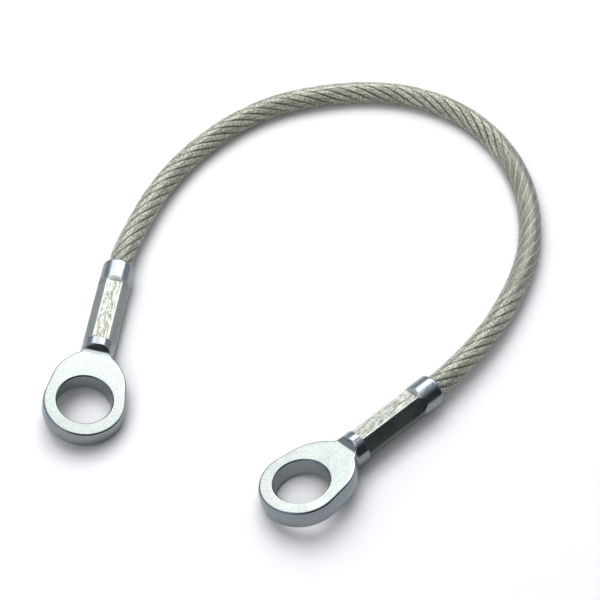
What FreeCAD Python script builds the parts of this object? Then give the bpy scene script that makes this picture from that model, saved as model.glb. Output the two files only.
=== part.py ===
"""Short wire-rope lanyard: two swaged eye terminals on a clear-sheathed steel rope, lying in an open loop.

Millimetres, +Z up, the surface that it lies on at Z = 0. The origin is the middle of the box round the two
terminals, at that surface. Each terminal is drawn with its shank along X and its hole at X = 0, then carried
to its end of the rope.
"""
import FreeCAD, Part

import math
import os

from FreeCAD import Placement, Rotation, Vector

# Rope: a core strand and outer strands laid round it, inside a clear sheath
strand_diameter = 1.32
outer_strand_count = 6
strand_gap = 0.02
sheath_wall = 1.0
sheath_gap = 0.02
core_radius = strand_diameter / 2
strand_circle_radius = strand_diameter + strand_gap
rope_radius = strand_circle_radius + strand_diameter / 2
sheath_inner_radius = rope_radius + sheath_gap
sheath_radius = sheath_inner_radius + sheath_wall

# Terminal: eye plate cut from a turned bulb, long shank with a stepped blind bore
hole_radius = 6.75
hole_chamfer = 0.25
plate_thickness = 5.0
plate_edge_radius = 0.5
rim_width = 3.3
tip_offset = 0.35
bulb_radius = hole_radius + rim_width
side_taper_deg = 8.0
side_length = 4.5
shoulder_radius = 12.0
neck_fillet_radius = 2.0
flat_past_hole = 7.05
flat_length = hole_radius + flat_past_hole
flat_runout_radius = 1.6
socket_wall = 1.0
socket_clearance = 0.05
socket_radius = sheath_radius + socket_clearance
shank_radius = socket_radius + socket_wall
socket_depth = 5.5
bore_clearance = 0.04
bore_radius = rope_radius + bore_clearance
bore_tip_angle_deg = 118.0
mouth_edge_radius = 0.6
mouth_lead_in = 0.3

# Crimp: flats pressed into the shank all round, square at the eye and ramped at the mouth
crimp_flat_count = 6
crimp_past_flat = 4.2
crimp_start = flat_length + crimp_past_flat
crimp_length = 18.2
crimp_flat_height = shank_radius * math.cos(math.pi / crimp_flat_count)
crimp_ramp_length = 1.5
crimp_step_length = 0.12
collar_length = 5.45
mouth_distance = crimp_start + crimp_length + crimp_ramp_length + collar_length
bore_past_crimp = 0.6
bore_end = crimp_start - bore_past_crimp
rope_end_gap = 0.3

# How each terminal lies: turned about its own shank by the set of the rope, and held just off the surface
left_roll_deg = 8.0
right_roll_deg = -15.0
resting_lift = 0.025


def resting_height(roll_deg):
    """Height of a rolled terminal's axis: its shank or the lower rim of its eye is nearest the surface."""
    inner_radius = bulb_radius - plate_edge_radius
    level = plate_thickness / 2 - plate_edge_radius
    reach = math.sqrt(inner_radius**2 - level**2)
    roll = math.radians(abs(roll_deg))
    rim_depth = reach * math.sin(roll) + level * math.cos(roll) + plate_edge_radius
    return max(shank_radius, rim_depth) + resting_lift


# Route of the rope's centre line, from the left mouth to the right mouth
lying_height = sheath_radius
left_height = resting_height(left_roll_deg)
right_height = resting_height(right_roll_deg)
route = [
    Vector(-43.5, 25.3, left_height),
    Vector(-46.9, 37.1, left_height),
    Vector(-46.7, 57.9, lying_height + 0.38),
    Vector(-41.7, 80.9, lying_height),
    Vector(-28.4, 101.9, lying_height),
    Vector(-5.4, 116.9, lying_height),
    Vector(18.6, 118.9, lying_height),
    Vector(41.9, 103.3, lying_height),
    Vector(53.1, 74.5, lying_height),
    Vector(51.7, 49.9, lying_height + 0.88),
    Vector(49.2, 34.9, right_height),
    Vector(43.8, 23.1, right_height),
]
arc_share = 0.45

x_axis = Vector(1, 0, 0)
y_axis = Vector(0, 1, 0)
cut_margin = 5.0
tolerance = 1e-6


def save(node, shape):
    shape.exportStep("parts/" + node + ".step")


def arc_edge(centre, radius, start_deg, end_deg):
    """Arc in the XY plane, from start_deg to end_deg about the centre."""
    points = []
    for share in (0.0, 0.5, 1.0):
        angle = math.radians(start_deg + share * (end_deg - start_deg))
        points.append(centre + Vector(radius * math.cos(angle), radius * math.sin(angle), 0))
    return Part.Arc(*points).toShape()


# ---- Terminal -----------------------------------------------------------------------------------------


def bulb_profile():
    """Half outline of the turned blank: tip, tapering side, shoulder, neck fillet and shank."""
    tip_centre = Vector(-tip_offset, 0, 0)
    side_normal_deg = 90.0 - side_taper_deg
    normal = Vector(math.cos(math.radians(side_normal_deg)), math.sin(math.radians(side_normal_deg)), 0)
    along = Vector(normal.y, -normal.x, 0)
    side_start = tip_centre + normal * bulb_radius
    side_end = side_start + along * side_length
    shoulder_centre = side_end - normal * shoulder_radius
    fillet_centre_y = shank_radius + neck_fillet_radius
    drop = fillet_centre_y - shoulder_centre.y
    shoulder_end_deg = math.degrees(math.asin(drop / (shoulder_radius + neck_fillet_radius)))
    reach = (shoulder_radius + neck_fillet_radius) * math.cos(math.radians(shoulder_end_deg))
    fillet_centre = Vector(shoulder_centre.x + reach, fillet_centre_y, 0)
    shank_start = Vector(fillet_centre.x, shank_radius, 0)
    shank_end = Vector(mouth_distance, shank_radius, 0)
    tip = Vector(-tip_offset - bulb_radius, 0, 0)
    axis_end = Vector(mouth_distance, 0, 0)
    edges = [
        arc_edge(tip_centre, bulb_radius, 180.0, side_normal_deg),
        Part.LineSegment(side_start, side_end).toShape(),
        arc_edge(shoulder_centre, shoulder_radius, side_normal_deg, shoulder_end_deg),
        arc_edge(fillet_centre, neck_fillet_radius, 180.0 + shoulder_end_deg, 270.0),
        Part.LineSegment(shank_start, shank_end).toShape(),
        Part.LineSegment(shank_end, axis_end).toShape(),
        Part.LineSegment(axis_end, tip).toShape(),
    ]
    return Part.Face(Part.Wire(edges))


def turned_blank():
    blank = bulb_profile().revolve(Vector(0, 0, 0), x_axis, 360)
    mouth_edges = [edge for edge in blank.Edges if abs(edge.BoundBox.XMin - mouth_distance) < tolerance]
    return blank.makeFillet(mouth_edge_radius, mouth_edges)


def flat_cutter(side):
    """What the mill takes off one side of the bulb: a flat that runs out into the shank in an arc."""
    half = plate_thickness / 2
    top = bulb_radius + cut_margin
    back = -tip_offset - bulb_radius - cut_margin
    runout_centre = Vector(flat_length, 0, half + flat_runout_radius)
    corner = Vector(flat_length, 0, half)
    middle = runout_centre + Vector(math.sqrt(0.5), 0, -math.sqrt(0.5)) * flat_runout_radius
    rise = runout_centre + Vector(flat_runout_radius, 0, 0)
    edges = [
        Part.LineSegment(Vector(back, 0, half), corner).toShape(),
        Part.Arc(corner, middle, rise).toShape(),
        Part.LineSegment(rise, Vector(rise.x, 0, top)).toShape(),
        Part.LineSegment(Vector(rise.x, 0, top), Vector(back, 0, top)).toShape(),
        Part.LineSegment(Vector(back, 0, top), Vector(back, 0, half)).toShape(),
    ]
    width = 2 * (bulb_radius + cut_margin)
    face = Part.Face(Part.Wire(edges))
    face.translate(Vector(0, -width / 2, 0))
    cutter = face.extrude(y_axis * width)
    if side < 0:
        cutter.rotate(Vector(0, 0, 0), x_axis, 180)
    return cutter


def rim_edges(plate):
    """The outer edge of each flat, between the tip and the run-out."""
    half = plate_thickness / 2
    found = []
    for edge in plate.Edges:
        box = edge.BoundBox
        level = abs(box.ZMax - box.ZMin) < tolerance
        on_flat = level and abs(abs(box.ZMax) - half) < tolerance
        if on_flat and box.XMin < flat_length - tolerance:
            found.append(edge)
    return found


def eye_hole():
    """Through hole with a small chamfer at both faces."""
    half = plate_thickness / 2
    hole = Part.makeCylinder(hole_radius, 2 * half, Vector(0, 0, -half))
    wide = hole_radius + 2 * hole_chamfer
    upper = Part.makeCone(hole_radius, wide, 2 * hole_chamfer, Vector(0, 0, half - hole_chamfer))
    lower = Part.makeCone(wide, hole_radius, 2 * hole_chamfer, Vector(0, 0, -half - hole_chamfer))
    return hole.multiFuse([upper, lower])


def crimp_cutters():
    """One cutter for each pressed flat, with its steep end at the eye and its ramp at the mouth."""
    outside = shank_radius - crimp_flat_height
    crimp_end = crimp_start + crimp_length
    height = crimp_flat_height
    corners = [
        Vector(crimp_start, 0, height),
        Vector(crimp_end, 0, height),
        Vector(crimp_end + 2 * crimp_ramp_length, 0, height + 2 * outside),
        Vector(crimp_start - 2 * crimp_step_length, 0, height + 2 * outside),
    ]
    outline = Part.makePolygon(corners + corners[:1])
    blank = Part.Face(outline)
    blank.translate(Vector(0, -shank_radius, 0))
    cutter = blank.extrude(y_axis * 2 * shank_radius)
    cutters = []
    for index in range(crimp_flat_count):
        turned = cutter.copy()
        turned.rotate(Vector(0, 0, 0), x_axis, 360.0 * index / crimp_flat_count)
        cutters.append(turned)
    return cutters


def rope_socket():
    """Stepped blind bore: wide for the sheath, then narrow for the bare strands, with a drilled end."""
    step = mouth_distance - socket_depth
    tip_length = bore_radius / math.tan(math.radians(bore_tip_angle_deg / 2))
    mouth_wide = socket_radius + 2 * mouth_lead_in
    lead_in_start = mouth_distance - mouth_lead_in
    wide = Part.makeCylinder(socket_radius, socket_depth + cut_margin, Vector(step, 0, 0), x_axis)
    narrow = Part.makeCylinder(bore_radius, step - bore_end + socket_depth, Vector(bore_end, 0, 0), x_axis)
    tip = Part.makeCone(0, bore_radius, tip_length, Vector(bore_end - tip_length, 0, 0), x_axis)
    lead_in = Part.makeCone(socket_radius, mouth_wide, 2 * mouth_lead_in, Vector(lead_in_start, 0, 0), x_axis)
    return wide.multiFuse([narrow, tip, lead_in])


def terminal():
    blank = turned_blank()
    plate = blank.cut([flat_cutter(1), flat_cutter(-1)])
    plate = plate.makeFillet(plate_edge_radius, rim_edges(plate))
    return plate.cut([eye_hole(), rope_socket()] + crimp_cutters())


def seat(shape, mouth, next_point, roll_deg):
    """Carry a terminal from its own axes to the rope's end, with its mouth facing along the rope."""
    forward = (next_point - mouth).normalize()
    heading = math.degrees(math.atan2(forward.y, forward.x))
    pitch = math.degrees(math.asin(forward.z))
    turn = Rotation(Vector(0, 0, 1), heading) * Rotation(y_axis, -pitch) * Rotation(x_axis, roll_deg)
    place = Placement(mouth, turn) * Placement(Vector(-mouth_distance, 0, 0), Rotation())
    seated = shape.copy()
    seated.Placement = place
    return seated


# ---- Rope ---------------------------------------------------------------------------------------------


def rope_path(inset):
    """Straight runs joined by tangent arcs, starting and ending a given depth inside the two mouths."""
    first = route[0] - (route[1] - route[0]).normalize() * inset
    last = route[-1] - (route[-2] - route[-1]).normalize() * inset
    edges = []
    radii = []
    here = first
    for before, corner, after in zip(route, route[1:], route[2:]):
        back = before - corner
        ahead = after - corner
        setback = arc_share * min(back.Length, ahead.Length)
        half_turn = (math.pi - back.getAngle(ahead)) / 2
        radius = setback / math.tan(half_turn)
        radii.append(radius)
        arc_start = corner + back.normalize() * setback
        arc_end = corner + ahead.normalize() * setback
        to_centre = (back + ahead).normalize()
        arc_middle = corner + to_centre * (radius / math.cos(half_turn) - radius)
        edges.append(Part.LineSegment(here, arc_start).toShape())
        edges.append(Part.Arc(arc_start, arc_middle, arc_end).toShape())
        here = arc_end
    edges.append(Part.LineSegment(here, last).toShape())
    return Part.Wire(edges), radii


def tube(path, radius, offset=0.0, angle_deg=0.0):
    """Round bar along a path, with its centre moved off the path by an offset in a given direction."""
    start = path.OrderedVertexes[0].Point
    forward = path.OrderedEdges[0].tangentAt(path.OrderedEdges[0].FirstParameter)
    side = Vector(0, 0, 1).cross(forward).normalize()
    up = forward.cross(side)
    angle = math.radians(angle_deg)
    centre = start + (side * math.cos(angle) + up * math.sin(angle)) * offset
    section = Part.Wire(Part.makeCircle(radius, centre, forward))
    return path.makePipeShell([section], True, False)


def sheath(path):
    return tube(path, sheath_radius).cut(tube(path, sheath_inner_radius))


def main():
    os.makedirs("parts", exist_ok=True)
    eye_terminal = terminal()
    save("left_eye_terminal", seat(eye_terminal, route[0], route[1], left_roll_deg))
    save("right_eye_terminal", seat(eye_terminal, route[-1], route[-2], right_roll_deg))

    sheath_path, radii = rope_path(socket_depth - rope_end_gap)
    strand_path, _ = rope_path(mouth_distance - bore_end - rope_end_gap)
    save("clear_sheath", sheath(sheath_path))
    save("core_strand", tube(strand_path, core_radius))
    for index in range(outer_strand_count):
        angle = 360.0 * index / outer_strand_count
        strand = tube(strand_path, strand_diameter / 2, strand_circle_radius, angle)
        save("outer_strand_" + str(index + 1), strand)

    print("bend radii", [round(radius, 1) for radius in radii])
    print("visible rope", round(rope_path(0.0)[0].Length, 1))
    print("strand length", round(strand_path.Length, 1))


main()
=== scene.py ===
"""Looks of a short wire-rope lanyard: zinc-plated swaged eyes on a laid steel rope in a clear sheath.

Metres, in the row frame: +Z up, the surface that the lanyard lies on at Z = 0.
"""
import math

import bpy
import numpy as np
from mathutils import Matrix, Vector

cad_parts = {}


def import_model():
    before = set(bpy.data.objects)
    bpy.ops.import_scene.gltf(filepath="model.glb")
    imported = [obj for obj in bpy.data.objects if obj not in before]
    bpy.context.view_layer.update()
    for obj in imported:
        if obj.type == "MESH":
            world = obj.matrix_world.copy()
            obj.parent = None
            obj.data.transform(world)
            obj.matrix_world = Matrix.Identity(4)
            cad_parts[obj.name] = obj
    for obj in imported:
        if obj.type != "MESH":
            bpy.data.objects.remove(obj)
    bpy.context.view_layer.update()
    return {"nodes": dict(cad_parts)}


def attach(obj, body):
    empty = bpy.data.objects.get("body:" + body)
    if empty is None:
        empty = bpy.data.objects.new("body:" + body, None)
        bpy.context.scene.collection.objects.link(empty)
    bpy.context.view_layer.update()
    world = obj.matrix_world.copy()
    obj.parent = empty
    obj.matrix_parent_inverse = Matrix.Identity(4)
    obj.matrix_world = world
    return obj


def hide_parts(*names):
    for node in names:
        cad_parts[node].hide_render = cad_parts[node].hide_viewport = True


MM = 0.001
FULL_TURN = 2 * math.pi

# Route of the rope's centre line, from the left mouth to the right mouth
ROUTE = [
    (-0.0435, 0.0253, 0.004095),
    (-0.0453, 0.0316, 0.004095),
    (-0.0470, 0.0600, 0.0034),
    (-0.0400, 0.0850, 0.00302),
    (-0.0276, 0.1027, 0.00302),
    (-0.0035, 0.1180, 0.00302),
    (0.0207, 0.1179, 0.00302),
    (0.0407, 0.1034, 0.00302),
    (0.0522, 0.0790, 0.00302),
    (0.0521, 0.0510, 0.0039),
    (0.0466, 0.0292, 0.004874),
    (0.0438, 0.0231, 0.004874),
]
ROUTE_RESOLUTION = 32
ROUTE_ORDER = 3

# Rope. A lay is the distance along which a strand, or a wire in it, makes one turn. The outline is the
# strand's radius at the edge, side, top and side of each wire. The grooves between strands get painted shade,
# and painted bright reflections on the right-hand bend, where the surface is near the rope's axis
STRAND_RADIUS = 0.66 * MM
STRAND_CIRCLE_RADIUS = 1.34 * MM
OUTER_STRANDS = 6
ROPE_LAY = 26.0 * MM
WIRE_LAY = 10.5 * MM
WIRES_ROUND_STRAND = 12
WIRE_OUTLINE = (0.54 * MM, 0.63 * MM, STRAND_RADIUS, 0.63 * MM)
WIRE_SHADES = (0.65, 1.35)
# Painted shade in the grooves, and painted bright reflections on the right-hand bend, cover the surface
# within this radius of the rope's axis and fade out over the blend
GROOVE_PAINT_RADIUS = 1.56 * MM
GROOVE_PAINT_BLEND = 0.08 * MM
RING_STEP = 0.42 * MM
WIRE_SEED = 7

# Sheath: its inside sinks into the strands by the grip, and has points at these angles from each one's middle
SHEATH_RADIUS = 3.02 * MM
SHEATH_GRIP = 0.12 * MM
SHEATH_VALLEY_RADIUS = 1.45 * MM
SHEATH_OFFSETS_DEG = (-30.0, -24.5, -20.0, -15.0, -10.0, -5.0, 0.0, 5.0, 10.0, 15.0, 20.0, 24.5)

# Length between the two mouths, and how far the strands and the sheath go on inside each one
STRAND_INSET = 25.45 * MM
SHEATH_INSET = 5.2 * MM

# Terminals: where the mouth is on the shank's axis, from the middle of the hole, and each one's roll
MOUTH_DISTANCE = 43.15 * MM
LEFT_ROLL_DEG = 8.0
RIGHT_ROLL_DEG = -15.0
EDGE_ROUNDING = 0.2 * MM
EDGE_SAMPLES = 6

# Where each finish on a terminal, and the painted highlight along the crimp's corners, begins to show and
# where
# it is full, in millimetres: along the shank from the middle of the hole, above or below the eye's middle
# plane, and out from the shank's axis for the corners' painted highlight
CRIMP_START_ALONG = (18.0, 18.3)
CRIMP_END_ALONG = (37.8, 36.2)
# Painted highlight along the crimp's corners, from this distance out from the shank's axis
CRIMP_CORNER_HIGHLIGHT_RADIUS = (3.82, 4.04)
PRESSED_FLAT_HEIGHT = (3.40, 3.50)
FACE_HEIGHT = (2.44, 2.49)
FACE_END_ALONG = (14.4, 13.6)

# Where the rope's right-hand bend gets painted shade on its wires and painted bright reflections in its
# grooves, in millimetres of the row frame
PAINTED_BEND_X = (30.0, 38.0)
PAINTED_BEND_Y = (52.0, 72.0)

# Noise: features per millimetre and levels of detail
RIPPLE_NOISE = (0.9, 3.0)
WIRE_GRAIN_NOISE = (2.2, 1.0)
GLINT_NOISE = (1.5, 1.0)
CLOUD_NOISE = (0.22, 4.0)
GRAIN_NOISE = (5.0, 3.0)
MOTTLE_NOISE = (1.1, 6.0)
SPECKLE_NOISE = (2.3, 2.0)
STREAK_NOISE = (3.8, 3.0)
STREAK_STRETCH = (0.16, 1.0, 1.0)
MOST_OF_NOISE = (0.3, 0.7)

# Clear PVC
PVC_COLOUR = (0.93, 0.94, 0.89, 1.0)
PVC_ROUGHNESS = 0.08
PVC_IOR = 1.5
RIPPLE_STRENGTH = 0.35
RIPPLE_DEPTH = 0.04 * MM

# Wire: pairs run from the darkest to the lightest, and roughness from dull grain to bright grain
WIRE_COLOURS = ((0.52, 0.53, 0.46, 1.0), (1.0, 1.0, 0.90, 1.0))
GLINT_COLOUR = (0.95, 0.95, 0.88, 1.0)
# Painted shade on the wires of the rope's right-hand bend
BEND_PAINTED_SHADE_COLOUR = (0.32, 0.33, 0.28, 1.0)
BEND_PAINTED_SHADE_STRENGTH = 0.58
# Grooves: painted shade, and painted bright reflections on the right-hand bend
GROOVE_SHADE_AND_GLINT_COLOURS = ((0.24, 0.25, 0.21, 1.0), (1.0, 1.0, 0.95, 1.0))
WIRE_GRAIN_EDGES = (0.33, 0.67)
WIRE_GRAIN_SHADES = (0.55, 1.35)
WIRE_TONE_EDGES = (0.45, 1.5)
GLINT_EDGES = (0.66, 0.74)
WIRE_METALLIC = 0.1
WIRE_ROUGHNESS = (0.55, 0.38)
WIRE_BUMP_STRENGTH = 0.4
BUMP_DEPTH = 0.03 * MM

# Zinc
ZINC_COLOURS = ((0.31, 0.345, 0.358, 1.0), (0.40, 0.43, 0.435, 1.0))
SATIN_COLOURS = ((0.39, 0.415, 0.398, 1.0), (0.47, 0.495, 0.472, 1.0))
RUBBED_COLOURS = ((0.20, 0.21, 0.187, 1.0), (0.43, 0.435, 0.395, 1.0))
DULL_COLOURS = ((0.29, 0.32, 0.31, 1.0), (0.36, 0.38, 0.36, 1.0))
# Painted highlight along the crimp's corners
CORNER_HIGHLIGHT_COLOUR = (0.45, 0.47, 0.45, 1.0)
RUBBED_MOTTLE = 0.6
RUBBED_EDGES = (0.58, 1.0)
ZINC_ROUGHNESS = (0.16, 0.26)
FACE_EXTRA_ROUGHNESS = 0.14
CRIMP_EXTRA_ROUGHNESS = (0.24, 0.06)
ZINC_GRAIN_BUMP = 0.25
ZINC_BUMP_STRENGTH = 0.5

# Camera
CAMERA_TARGET = Vector((0.00194, 0.03847, 0.0))
CAMERA_DISTANCE = 0.414
CAMERA_AZIMUTH_DEG = 20.37
CAMERA_PITCH_DEG = 51.81
CAMERA_ROLL_DEG = 3.61
CAMERA_LENS = 96.0
CAMERA_SENSOR = 36.0

# Room: even light, and a cone that nothing lights, from its edge to where it is darkest
ROOM_COLOURS = ((0.58, 0.59, 0.66, 1.0), (0.105, 0.112, 0.12, 1.0))
DARK_AZIMUTH_DEG = -32.0
DARK_ELEVATION_DEG = 24.0
DARK_EDGE_DEG = 62.0
DARK_CORE_DEG = 42.0

# Soft boxes: name, azimuth and elevation in degrees, distance, width, height, radiance, colour, mirrored
COOL_WHITE = (1.0, 1.0, 0.98)
WARM_WHITE = (1.0, 0.99, 0.97)
PANELS = (
    ("back_right_panel", 88, 44, 1.0, 0.72, 0.46, 2.6, COOL_WHITE, True),
    ("back_left_panel", 131, 42, 1.0, 0.72, 0.50, 1.7, COOL_WHITE, True),
    ("top_panel", 120, 84, 1.0, 0.62, 0.50, 1.5, COOL_WHITE, True),
    ("ceiling_panel", 140, 70, 0.5, 0.42, 0.38, 3.0, WARM_WHITE, False),
    ("front_panel", -90, 50, 1.6, 1.4, 1.0, 1.6, WARM_WHITE, False),
)
PANEL_AIM = Vector((0.0, 0.04, 0.0))

# Floor
FLOOR_HALF_WIDTH = 3.0
FLOOR_COLOUR = (0.80, 0.80, 0.80, 1.0)
FLOOR_ROUGHNESS = 0.6

# Picture
EXPOSURE = 0.22
GAMMA = 0.72


# ---- Small helpers ------------------------------------------------------------------------------------


def add_object(name, data):
    obj = bpy.data.objects.new(name, data)
    bpy.context.scene.collection.objects.link(obj)
    return obj


def mesh_object(name, points, faces):
    """A smooth-shaded mesh from an array of points."""
    mesh = bpy.data.meshes.new(name)
    mesh.from_pydata(points.tolist(), [], faces)
    mesh.shade_smooth()
    return add_object(name, mesh)


def node(tree, kind, **values):
    """A shader node with its inputs set by name, spaces written as underscores."""
    made = tree.nodes.new(kind)
    for key, value in values.items():
        made.inputs[key.replace("_", " ")].default_value = value
    return made


# ---- Rope geometry ------------------------------------------------------------------------------------


def route_line():
    """Points along the smooth curve that the route controls."""
    curve = bpy.data.curves.new("route", "CURVE")
    curve.dimensions = "3D"
    curve.resolution_u = ROUTE_RESOLUTION
    spline = curve.splines.new("NURBS")
    spline.points.add(len(ROUTE) - 1)
    for point, place in zip(spline.points, ROUTE):
        point.co = (*place, 1.0)
    spline.order_u = ROUTE_ORDER
    spline.use_endpoint_u = True
    obj = add_object("route", curve)
    bpy.context.view_layer.update()
    mesh = bpy.data.meshes.new_from_object(obj)
    line = np.array([vertex.co for vertex in mesh.vertices])
    bpy.data.objects.remove(obj)
    bpy.data.curves.remove(curve)
    bpy.data.meshes.remove(mesh)
    return line


def extended(line, inset):
    """The line with a straight stretch into each terminal."""
    first = line[0] - line[1]
    last = line[-1] - line[-2]
    start = line[0] + first / np.linalg.norm(first) * inset
    end = line[-1] + last / np.linalg.norm(last) * inset
    return np.vstack([start, line, end])


def resampled(line, step):
    """The same line with points at even distances, and the distance at each."""
    runs = np.linalg.norm(np.diff(line, axis=0), axis=1)
    along = np.concatenate([[0.0], np.cumsum(runs)])
    count = int(round(along[-1] / step)) + 1
    wanted = np.linspace(0.0, along[-1], count)
    points = np.column_stack([np.interp(wanted, along, line[:, axis]) for axis in range(3)])
    return points, wanted


def frames(points):
    """Sideways and upward directions at each point of a line that nowhere runs straight up."""
    tangent = np.gradient(points, axis=0)
    tangent /= np.linalg.norm(tangent, axis=1)[:, None]
    side = np.cross([0.0, 0.0, 1.0], tangent)
    side /= np.linalg.norm(side, axis=1)[:, None]
    return side, np.cross(tangent, side)


def swept(points, side, up, radii, angles):
    """Rings of points round a line. radii and angles have one row for each ring."""
    across = radii * np.cos(angles)
    above = radii * np.sin(angles)
    rings = points[:, None, :] + side[:, None, :] * across[..., None] + up[:, None, :] * above[..., None]
    return rings.reshape(-1, 3)


def ring_faces(rings, around, first=0, inward=False):
    """Quads between neighbouring rings."""
    faces = []
    for ring in range(rings - 1):
        for index in range(around):
            after = (index + 1) % around
            low = first + ring * around
            quad = [low + index, low + after, low + around + after, low + around + index]
            faces.append(quad[::-1] if inward else quad)
    return faces


def store(obj, name, values):
    """One number for each point of the mesh, for the material to read."""
    attribute = obj.data.attributes.new(name, "FLOAT", "POINT")
    attribute.data.foreach_set("value", values)


def strand(name, line, along, circle_radius, start_angle, chance):
    """A strand of fine wires, laid right-handed round the rope with its wires laid left-handed."""
    side, up = frames(line)
    turn = start_angle + along / ROPE_LAY * FULL_TURN
    outward = side * np.cos(turn)[:, None] + up * np.sin(turn)[:, None]
    centre = line + outward * circle_radius
    forward = np.gradient(centre, axis=0)
    forward /= np.linalg.norm(forward, axis=1)[:, None]
    beside = np.cross(forward, outward)
    beside /= np.linalg.norm(beside, axis=1)[:, None]
    outward = np.cross(beside, forward)
    outline = np.tile(WIRE_OUTLINE, WIRES_ROUND_STRAND)
    around = len(outline)
    twist = -along / WIRE_LAY * FULL_TURN
    angles = twist[:, None] + np.arange(around)[None, :] / around * FULL_TURN
    radii = np.broadcast_to(outline, angles.shape)
    points = swept(centre, outward, np.cross(forward, outward), radii, angles)
    rings = len(line)
    faces = ring_faces(rings, around)
    faces.append(list(range(around))[::-1])
    faces.append(list(range((rings - 1) * around, rings * around)))
    obj = mesh_object(name, points, faces)
    shades = chance.uniform(*WIRE_SHADES, WIRES_ROUND_STRAND)
    store(obj, "wire_shade", np.tile(np.repeat(shades, len(WIRE_OUTLINE)), rings))
    # How deep each point lies in a groove between strands: the material paints shade there, and bright
    # reflections on the right-hand bend
    reach = np.linalg.norm(points.reshape(rings, around, 3) - line[:, None, :], axis=2)
    groove_paint_depth = np.clip((GROOVE_PAINT_RADIUS + GROOVE_PAINT_BLEND - reach) / GROOVE_PAINT_BLEND, 0.0, 1.0)
    store(obj, "painted_groove_depth", groove_paint_depth.ravel())
    return obj


def grip_radii(offsets):
    """Radius of the sheath's inner wall: it follows the outer strands and bridges the valleys between."""
    reach = STRAND_RADIUS - SHEATH_GRIP
    inside = np.maximum(reach**2 - (STRAND_CIRCLE_RADIUS * np.sin(offsets)) ** 2, 0.0)
    return np.maximum(STRAND_CIRCLE_RADIUS * np.cos(offsets) + np.sqrt(inside), SHEATH_VALLEY_RADIUS)


def sheath_tube(line, along, start_angle):
    """Clear sheath: a round outside, and an inside that grips the strands."""
    side, up = frames(line)
    rings = len(line)
    offsets = np.tile(np.radians(SHEATH_OFFSETS_DEG), OUTER_STRANDS)
    around = len(offsets)
    strand_number = np.repeat(np.arange(OUTER_STRANDS), len(SHEATH_OFFSETS_DEG))
    strand_angles = strand_number / OUTER_STRANDS * FULL_TURN
    turn = start_angle + along / ROPE_LAY * FULL_TURN
    angles = turn[:, None] + (strand_angles + offsets)[None, :]
    outer = swept(line, side, up, np.full(angles.shape, SHEATH_RADIUS), angles)
    inner = swept(line, side, up, np.broadcast_to(grip_radii(offsets), angles.shape), angles)
    inner_start = rings * around
    faces = ring_faces(rings, around)
    faces += ring_faces(rings, around, inner_start, inward=True)
    for ring, flip in ((0, True), (rings - 1, False)):
        for index in range(around):
            after = (index + 1) % around
            low = ring * around
            quad = [low + index, low + after, inner_start + low + after, inner_start + low + index]
            faces.append(quad if flip else quad[::-1])
    return mesh_object("clear_sheath_grip", np.vstack([outer, inner]), faces)


# ---- Materials ----------------------------------------------------------------------------------------


# A Mix node has sockets for numbers, vectors and colours: these are the ones that it uses for colours
MIX_FACTOR = 0
MIX_COLOURS = (6, 7)
MIX_RESULT = 2


def new_material(name):
    """A material with one Principled shader: the material, its node tree and the shader."""
    material = bpy.data.materials.new(name)
    material.use_nodes = True
    tree = material.node_tree
    tree.nodes.clear()
    output = tree.nodes.new("ShaderNodeOutputMaterial")
    shader = tree.nodes.new("ShaderNodeBsdfPrincipled")
    tree.links.new(shader.outputs["BSDF"], output.inputs["Surface"])
    return material, tree, shader


def stored(tree, name):
    """A number stored on the mesh's points."""
    made = tree.nodes.new("ShaderNodeAttribute")
    made.attribute_name = name
    return made.outputs["Fac"]


def millimetres(tree):
    """A Mapping node that gives the object's coordinates in millimetres."""
    place = tree.nodes.new("ShaderNodeTexCoord")
    mapping = node(tree, "ShaderNodeMapping", Scale=(1 / MM, 1 / MM, 1 / MM))
    tree.links.new(place.outputs["Object"], mapping.inputs["Vector"])
    return mapping


def local_coordinates(tree, centre, turn):
    """Coordinates in millimetres in a terminal's own axes: X along the shank, Z out of the eye's face."""
    back = turn.transposed()
    mapping = millimetres(tree)
    mapping.inputs["Rotation"].default_value = back.to_euler("XYZ")
    mapping.inputs["Location"].default_value = -(back @ centre) / MM
    return mapping.outputs["Vector"]


def separated(tree, vector):
    """The three coordinates of a vector."""
    split = tree.nodes.new("ShaderNodeSeparateXYZ")
    tree.links.new(vector, split.inputs["Vector"])
    return split.outputs


def noise(tree, vector, scale, detail, stretch=(1.0, 1.0, 1.0)):
    """Noise with a number of features per millimetre, longer along the axes with a small stretch value."""
    mapping = node(tree, "ShaderNodeMapping", Scale=stretch)
    tree.links.new(vector, mapping.inputs["Vector"])
    texture = node(tree, "ShaderNodeTexNoise", Scale=scale, Detail=detail)
    tree.links.new(mapping.outputs["Vector"], texture.inputs["Vector"])
    return texture.outputs["Fac"]


def ranged(tree, value, edges, to_range=(0.0, 1.0)):
    """The value moved from between the edges to another range, smoothly, and held inside it."""
    made = tree.nodes.new("ShaderNodeMapRange")
    made.interpolation_type = "SMOOTHSTEP"
    tree.links.new(value, made.inputs["Value"])
    for key, number in zip(("From Min", "From Max", "To Min", "To Max"), (*edges, *to_range)):
        made.inputs[key].default_value = number
    return made.outputs["Result"]


def maths(tree, operation, first, second=None):
    """A Math node on sockets or numbers."""
    made = tree.nodes.new("ShaderNodeMath")
    made.operation = operation
    for index, value in enumerate((first, second)):
        if value is None:
            continue
        if isinstance(value, (int, float)):
            made.inputs[index].default_value = value
        else:
            tree.links.new(value, made.inputs[index])
    return made.outputs["Value"]


def mixed(tree, factor, first, second):
    """A colour between two, each a socket or a colour."""
    made = tree.nodes.new("ShaderNodeMix")
    made.data_type = "RGBA"
    tree.links.new(factor, made.inputs[MIX_FACTOR])
    for index, value in zip(MIX_COLOURS, (first, second)):
        if isinstance(value, tuple):
            made.inputs[index].default_value = value
        else:
            tree.links.new(value, made.inputs[index])
    return made.outputs[MIX_RESULT]


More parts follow.
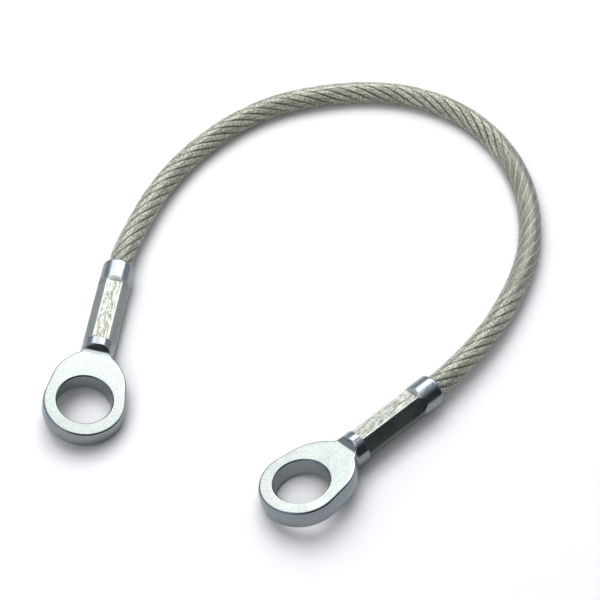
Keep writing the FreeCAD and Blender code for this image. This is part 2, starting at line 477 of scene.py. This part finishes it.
def bump(tree, height, strength, distance, normal=None):
    """A normal that follows the height, on top of another normal where one is given."""
    made = node(tree, "ShaderNodeBump", Strength=strength, Distance=distance)
    tree.links.new(height, made.inputs["Height"])
    if normal is not None:
        tree.links.new(normal, made.inputs["Normal"])
    return made.outputs["Normal"]


def clear_pvc():
    """Clear sheath with a faint grey-green cast and a slightly uneven surface."""
    material, tree, shader = new_material("clear_pvc")
    shader.inputs["Base Color"].default_value = PVC_COLOUR
    shader.inputs["Roughness"].default_value = PVC_ROUGHNESS
    shader.inputs["IOR"].default_value = PVC_IOR
    shader.inputs["Transmission Weight"].default_value = 1.0
    ripple = noise(tree, millimetres(tree).outputs["Vector"], *RIPPLE_NOISE)
    tree.links.new(bump(tree, ripple, RIPPLE_STRENGTH, RIPPLE_DEPTH), shader.inputs["Normal"])
    return material


def galvanised_wire():
    """Fine bright wires, each a little lighter or darker than the next, with small painted glints and dull
    spots.
    Painted shade darkens the grooves between strands; on the rope's right-hand curve the wires get painted
    shade and the grooves painted bright reflections.
    """
    material, tree, shader = new_material("galvanised_wire")
    local = millimetres(tree).outputs["Vector"]
    grain = noise(tree, local, *WIRE_GRAIN_NOISE)
    glint = ranged(tree, noise(tree, local, *GLINT_NOISE), GLINT_EDGES)

    grain_shade = ranged(tree, grain, WIRE_GRAIN_EDGES, WIRE_GRAIN_SHADES)
    spread = maths(tree, "MULTIPLY", stored(tree, "wire_shade"), grain_shade)
    colour = mixed(tree, ranged(tree, spread, WIRE_TONE_EDGES), *WIRE_COLOURS)
    colour = mixed(tree, glint, colour, GLINT_COLOUR)

    # Painted shade darkens the wires on the right-hand bend; the grooves between strands get painted shade,
    # and painted bright reflections on that bend
    rightward, backward = separated(tree, local)[:2]
    painted_bend = maths(tree, "MULTIPLY", ranged(tree, rightward, PAINTED_BEND_X), ranged(tree, backward, PAINTED_BEND_Y))
    colour = mixed(tree, maths(tree, "MULTIPLY", painted_bend, BEND_PAINTED_SHADE_STRENGTH), colour, BEND_PAINTED_SHADE_COLOUR)
    painted_groove = mixed(tree, painted_bend, *GROOVE_SHADE_AND_GLINT_COLOURS)
    colour = mixed(tree, stored(tree, "painted_groove_depth"), colour, painted_groove)

    tree.links.new(colour, shader.inputs["Base Color"])
    shader.inputs["Metallic"].default_value = WIRE_METALLIC
    tree.links.new(ranged(tree, grain, MOST_OF_NOISE, WIRE_ROUGHNESS), shader.inputs["Roughness"])
    tree.links.new(bump(tree, grain, WIRE_BUMP_STRENGTH, BUMP_DEPTH), shader.inputs["Normal"])
    return material


def zinc_plate(name, centre, turn):
    """Bright zinc over swaged steel: satin milled faces, rubbed crimp flats, smooth turned surfaces, and a
    painted highlight along the crimp's corners.
    """
    material, tree, shader = new_material(name)
    local = local_coordinates(tree, centre, turn)
    along, across, height = separated(tree, local)
    above = maths(tree, "ABSOLUTE", height)
    across_squared = maths(tree, "POWER", across, 2)
    height_squared = maths(tree, "POWER", height, 2)
    radius = maths(tree, "SQRT", maths(tree, "ADD", across_squared, height_squared))

    past_start = ranged(tree, along, CRIMP_START_ALONG)
    before_end = ranged(tree, along, CRIMP_END_ALONG)
    crimp = maths(tree, "MULTIPLY", past_start, before_end)
    # Painted highlight: the crimp's corners, furthest out from the shank's axis, are lighter
    corner_highlight = maths(tree, "MULTIPLY", crimp, ranged(tree, radius, CRIMP_CORNER_HIGHLIGHT_RADIUS))
    pressed = ranged(tree, above, PRESSED_FLAT_HEIGHT)
    face = maths(tree, "MULTIPLY", ranged(tree, above, FACE_HEIGHT), ranged(tree, along, FACE_END_ALONG))

    cloud = noise(tree, local, *CLOUD_NOISE)
    grain = noise(tree, local, *GRAIN_NOISE)
    mottle = noise(tree, local, *MOTTLE_NOISE)
    streak = noise(tree, local, *STREAK_NOISE, STREAK_STRETCH)
    speckle = ranged(tree, noise(tree, local, *SPECKLE_NOISE), MOST_OF_NOISE)
    wear = maths(tree, "ADD", streak, maths(tree, "MULTIPLY", mottle, RUBBED_MOTTLE))

    smooth = mixed(tree, cloud, *ZINC_COLOURS)
    satin = mixed(tree, speckle, *SATIN_COLOURS)
    rubbed = mixed(tree, ranged(tree, wear, RUBBED_EDGES), *RUBBED_COLOURS)
    dull = mixed(tree, cloud, *DULL_COLOURS)
    colour = mixed(tree, face, smooth, satin)
    colour = mixed(tree, crimp, colour, mixed(tree, pressed, dull, rubbed))
    # Painted highlight on the crimp's corners
    colour = mixed(tree, corner_highlight, colour, CORNER_HIGHLIGHT_COLOUR)
    tree.links.new(colour, shader.inputs["Base Color"])
    shader.inputs["Metallic"].default_value = 1.0

    rough = ranged(tree, cloud, MOST_OF_NOISE, ZINC_ROUGHNESS)
    face_rough = maths(tree, "MULTIPLY", face, FACE_EXTRA_ROUGHNESS)
    crimp_rough = maths(tree, "MULTIPLY", crimp, ranged(tree, streak, MOST_OF_NOISE, CRIMP_EXTRA_ROUGHNESS))
    rough = maths(tree, "ADD", rough, maths(tree, "ADD", face_rough, crimp_rough))
    tree.links.new(rough, shader.inputs["Roughness"])

    fine = maths(tree, "MULTIPLY", grain, ZINC_GRAIN_BUMP)
    worn = maths(tree, "ADD", fine, maths(tree, "MULTIPLY", streak, crimp))
    rounded = node(tree, "ShaderNodeBevel", Radius=EDGE_ROUNDING)
    rounded.samples = EDGE_SAMPLES
    normal = bump(tree, worn, ZINC_BUMP_STRENGTH, BUMP_DEPTH, rounded.outputs["Normal"])
    tree.links.new(normal, shader.inputs["Normal"])
    return material


def use_material(obj, material):
    """Puts one material in every slot of an object, or in a first slot where it has none."""
    if not obj.data.materials:
        obj.data.materials.append(material)
    for index in range(len(obj.data.materials)):
        obj.data.materials[index] = material


# ---- Stage --------------------------------------------------------------------------------------------


def floor_material():
    """Plain pale matt paper."""
    material, tree, shader = new_material("floor")
    shader.inputs["Base Color"].default_value = FLOOR_COLOUR
    shader.inputs["Roughness"].default_value = FLOOR_ROUGHNESS
    return material


def floor():
    """A plain pale plane that the lanyard lies on."""
    corners = np.array([(-1.0, -1.0, 0.0), (1.0, -1.0, 0.0), (1.0, 1.0, 0.0), (-1.0, 1.0, 0.0)])
    obj = mesh_object("floor", corners * FLOOR_HALF_WIDTH, [[0, 1, 2, 3]])
    use_material(obj, floor_material())


def direction(azimuth_deg, elevation_deg):
    """Unit vector out to an azimuth, counted from +X towards +Y, and an elevation."""
    azimuth = math.radians(azimuth_deg)
    elevation = math.radians(elevation_deg)
    level = math.cos(elevation)
    return Vector((math.cos(azimuth) * level, math.sin(azimuth) * level, math.sin(elevation)))


def panel(name, azimuth_deg, elevation_deg, distance, width, height, radiance, colour, mirrored):
    """A soft box that faces the object: a mirrored one only shows in shiny surfaces, another only lights."""
    data = bpy.data.lights.new(name, "AREA")
    data.shape = "RECTANGLE"
    data.size = width
    data.size_y = height
    data.energy = radiance * math.pi * width * height
    data.color = colour
    obj = add_object(name, data)
    away = direction(azimuth_deg, elevation_deg)
    obj.location = PANEL_AIM + away * distance
    obj.rotation_euler = away.to_track_quat("Z", "Y").to_euler()
    obj.visible_camera = False
    obj.visible_glossy = mirrored
    obj.visible_diffuse = not mirrored
    obj.visible_transmission = not mirrored


def room():
    """Even light from all round, but dark to the front right, where nothing is lit."""
    world = bpy.data.worlds.new("room")
    bpy.context.scene.world = world
    world.use_nodes = True
    tree = world.node_tree
    background = tree.nodes["Background"]
    place = tree.nodes.new("ShaderNodeTexCoord")
    facing = tree.nodes.new("ShaderNodeVectorMath")
    facing.operation = "DOT_PRODUCT"
    facing.inputs[1].default_value = direction(DARK_AZIMUTH_DEG, DARK_ELEVATION_DEG)
    tree.links.new(place.outputs["Generated"], facing.inputs[0])
    cone = (math.cos(math.radians(DARK_EDGE_DEG)), math.cos(math.radians(DARK_CORE_DEG)))
    dark = ranged(tree, facing.outputs["Value"], cone)
    tree.links.new(mixed(tree, dark, *ROOM_COLOURS), background.inputs["Color"])
    background.inputs["Strength"].default_value = 1.0


def lights():
    for settings in PANELS:
        panel(*settings)


def camera():
    """Looks along +Y, turned by the azimuth and tipped down by the pitch, then rolled about that line."""
    azimuth = math.radians(CAMERA_AZIMUTH_DEG)
    pitch = math.radians(CAMERA_PITCH_DEG)
    roll = math.radians(CAMERA_ROLL_DEG)
    level_right = Vector((math.cos(azimuth), math.sin(azimuth), 0.0))
    level_forward = Vector((-math.sin(azimuth), math.cos(azimuth), 0.0))
    forward = level_forward * math.cos(pitch) + Vector((0.0, 0.0, -math.sin(pitch)))
    level_up = level_right.cross(forward)
    right = level_right * math.cos(roll) + level_up * math.sin(roll)
    up = level_up * math.cos(roll) - level_right * math.sin(roll)
    data = bpy.data.cameras.new("camera")
    data.lens = CAMERA_LENS
    data.sensor_width = CAMERA_SENSOR
    obj = add_object("camera", data)
    turn = Matrix((right, up, -forward)).transposed()
    obj.matrix_world = Matrix.Translation(CAMERA_TARGET - forward * CAMERA_DISTANCE) @ turn.to_4x4()
    bpy.context.scene.camera = obj


# ---- Build --------------------------------------------------------------------------------------------


def rope():
    """The seven strands and their sheath, in place of the design's rods and tube."""
    line = route_line()
    steel = galvanised_wire()
    strand_line, strand_along = resampled(extended(line, STRAND_INSET), RING_STEP)
    chance = np.random.default_rng(WIRE_SEED)
    made = [strand("core_strand_wires", strand_line, strand_along, 0.0, 0.0, chance)]
    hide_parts("core_strand")
    for index in range(OUTER_STRANDS):
        angle = FULL_TURN * index / OUTER_STRANDS
        name = "outer_strand_" + str(index + 1)
        piece = strand(name + "_wires", strand_line, strand_along, STRAND_CIRCLE_RADIUS, angle, chance)
        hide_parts(name)
        made.append(piece)
    for piece in made:
        use_material(piece, steel)
        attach(piece, "root")

    sheath_line, sheath_along = resampled(extended(line, SHEATH_INSET), RING_STEP)
    lead = (STRAND_INSET - SHEATH_INSET) / ROPE_LAY * FULL_TURN
    sheath = sheath_tube(sheath_line, sheath_along, lead)
    use_material(sheath, clear_pvc())
    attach(sheath, "root")
    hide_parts("clear_sheath")


def terminals(frame):
    """Zinc on each terminal, with its finishes placed in that terminal's own axes."""
    for name, mouth, inner, roll_deg in (
        ("left_eye_terminal", ROUTE[0], ROUTE[1], LEFT_ROLL_DEG),
        ("right_eye_terminal", ROUTE[-1], ROUTE[-2], RIGHT_ROLL_DEG),
    ):
        forward = (Vector(inner) - Vector(mouth)).normalized()
        side = Vector((0.0, 0.0, 1.0)).cross(forward)
        level = Matrix((forward, side, forward.cross(side))).transposed()
        turn = level @ Matrix.Rotation(math.radians(roll_deg), 3, "X")
        centre = Vector(mouth) - forward * MOUTH_DISTANCE
        use_material(frame["nodes"][name], zinc_plate("zinc_" + name, centre, turn))


def main():
    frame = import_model()
    camera()
    room()
    lights()
    floor()
    rope()
    terminals(frame)
    settings = bpy.context.scene.view_settings
    settings.view_transform = "Standard"
    settings.exposure = EXPOSURE
    settings.gamma = GAMMA


main()
